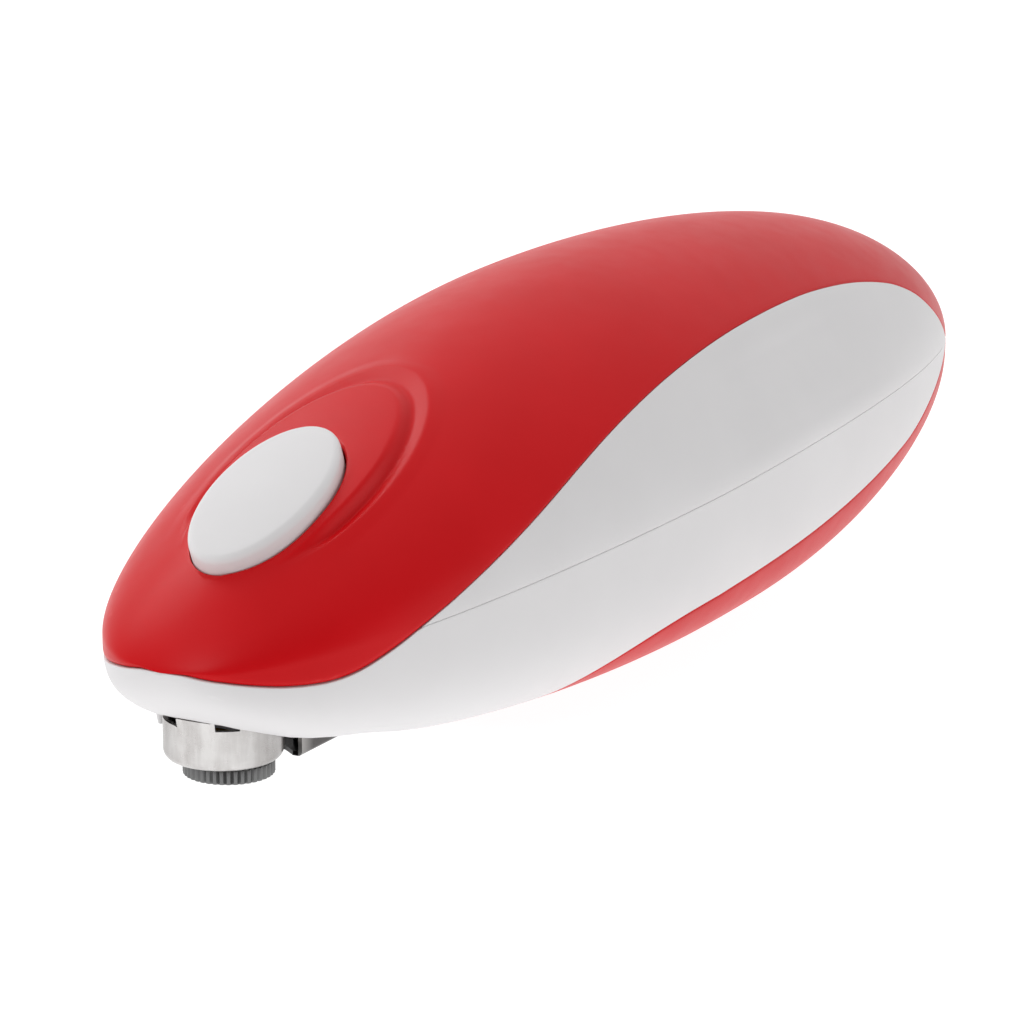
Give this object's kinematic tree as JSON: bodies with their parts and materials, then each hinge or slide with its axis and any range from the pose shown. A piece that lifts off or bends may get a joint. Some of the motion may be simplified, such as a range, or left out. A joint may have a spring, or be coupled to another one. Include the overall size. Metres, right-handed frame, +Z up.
{
  "type": "hands-free can opener",
  "caption": "Battery can opener with an egg-shaped housing, top push button, knurled drive wheel under a steel drum, swinging cutter arm and sliding battery lid.",
  "frame": {"origin": "centre of the drive wheel's flat bottom face, on the drive axis", "axes": "+Z up out of the button side, +X from the drive end to the tail, +Y to the right-hand side of a user holding the tail; the drive axis is Z"},
  "size_m": [0.21, 0.0642, 0.0537],
  "materials": {
    "red_shell": "satin soft-touch",
    "white_shell": "satin",
    "spring_steel": "drawn wire",
    "black_plastic": "fine texture",
    "acetal": "natural",
    "circuit_board": "coated",
    "motor_steel": "plated",
    "brass": "machined",
    "plate_steel": "rolled sheet",
    "pin_steel": "ground",
    "screw_steel": "zinc",
    "drum_steel": "deep drawn",
    "dark_steel": "hardened and oiled",
    "blade_steel": "ground edge",
    "cell_jacket": "printed film",
    "wire_cover": "PVC"
  },
  "bodies": {
    "housing": {"top_cover": "red_shell", "side_panel_left": "white_shell", "side_panel_right": "white_shell", "base_shell": "white_shell", "drive_floor": "white_shell", "button_spring": "spring_steel", "switch_body": "black_plastic", "switch_board": "circuit_board", "switch_bracket": "black_plastic", "motor_can": "motor_steel", "motor_end_cap": "black_plastic", "motor_terminals": "brass", "gear_axles": "pin_steel", "gearbox_lower_plate": "plate_steel", "gearbox_upper_plate": "plate_steel", "gearbox_posts": "brass", "gearbox_screws": "screw_steel", "drive_bush": "brass", "drive_drum": "drum_steel", "cutter_channel": "plate_steel", "channel_rivets": "pin_steel", "cutter_block": "black_plastic", "clamp_axle": "pin_steel", "battery_cells": "cell_jacket", "battery_tray": "black_plastic", "contact_springs": "spring_steel", "contact_plates": "brass", "lead_wires": "wire_cover", "cover_posts": "white_shell", "housing_screws": "screw_steel"},
    "button": {"push_button": "white_shell"},
    "plunger": {"switch_plunger": "acetal"},
    "drive": {"drive_wheel": "dark_steel", "wheel_screw": "screw_steel", "drive_shaft": "pin_steel", "final_gear": "brass"},
    "third_gear": {"gear_three": "acetal"},
    "second_gear": {"gear_two": "acetal"},
    "first_gear": {"gear_one": "acetal"},
    "rotor": {"motor_pinion": "brass"},
    "arm": {"cutter_arm": "dark_steel", "arm_pivot_pin": "pin_steel", "arm_sector": "brass", "cutter_rivet": "pin_steel"},
    "disc": {"cutter_disc": "blade_steel"},
    "clamp": {"clamp_pinion": "brass"},
    "battery_lid": {"battery_cover": "red_shell"}
  },
  "joints": [
    {"name": "button_press", "type": "slide", "parent": "housing", "child": "button", "axis": [0.3801, 0, -0.925], "range_m": [0, 0.0012], "stiffness_N_per_m": 900, "springref_m": -0.0008, "deforming": ["button_spring"]},
    {"name": "plunger_press", "type": "slide", "parent": "housing", "child": "plunger", "axis": [0.3801, 0, -0.925], "range_m": [0, 0.0014]},
    {"name": "drive_spin", "type": "hinge", "parent": "housing", "child": "drive", "pos_m": [0, 0, 0], "axis": [0, 0, 1], "continuous": true},
    {"name": "third_gear_spin", "type": "hinge", "parent": "housing", "child": "third_gear", "pos_m": [0.0108, 0, 0], "axis": [0, 0, 1], "continuous": true},
    {"name": "second_gear_spin", "type": "hinge", "parent": "housing", "child": "second_gear", "pos_m": [0.027, 0, 0], "axis": [0, 0, 1], "continuous": true},
    {"name": "first_gear_spin", "type": "hinge", "parent": "housing", "child": "first_gear", "pos_m": [0.042, 0, 0], "axis": [0, 0, 1], "continuous": true},
    {"name": "motor_spin", "type": "hinge", "parent": "housing", "child": "rotor", "pos_m": [0.057, 0, 0], "axis": [0, 0, 1], "continuous": true},
    {"name": "arm_swing", "type": "hinge", "parent": "housing", "child": "arm", "pos_m": [0.022, -0.0036, 0], "axis": [0, 0, 1], "range_deg": [0, 20]},
    {"name": "clamp_turn", "type": "hinge", "parent": "housing", "child": "clamp", "pos_m": [0.03091, -0.01251, 0], "axis": [0, 0, 1], "range_deg": [-40, 0]},
    {"name": "disc_spin", "type": "hinge", "parent": "arm", "child": "disc", "pos_m": [0.01339, 0.01024, 0], "axis": [0, 0, 1], "continuous": true},
    {"name": "lid_slide", "type": "slide", "parent": "housing", "child": "battery_lid", "axis": [1, 0, 0], "range_m": [0, 0.04]}
  ],
  "couplings": [
    {"joint": "first_gear_spin", "follows": "motor_spin", "ratio": -0.25},
    {"joint": "second_gear_spin", "follows": "motor_spin", "ratio": 0.0625},
    {"joint": "third_gear_spin", "follows": "motor_spin", "ratio": -0.017857},
    {"joint": "drive_spin", "follows": "motor_spin", "ratio": 0.0089286},
    {"joint": "clamp_turn", "follows": "arm_swing", "ratio": -2},
    {"joint": "plunger_press", "follows": "button_press", "ratio": 1}
  ]
}
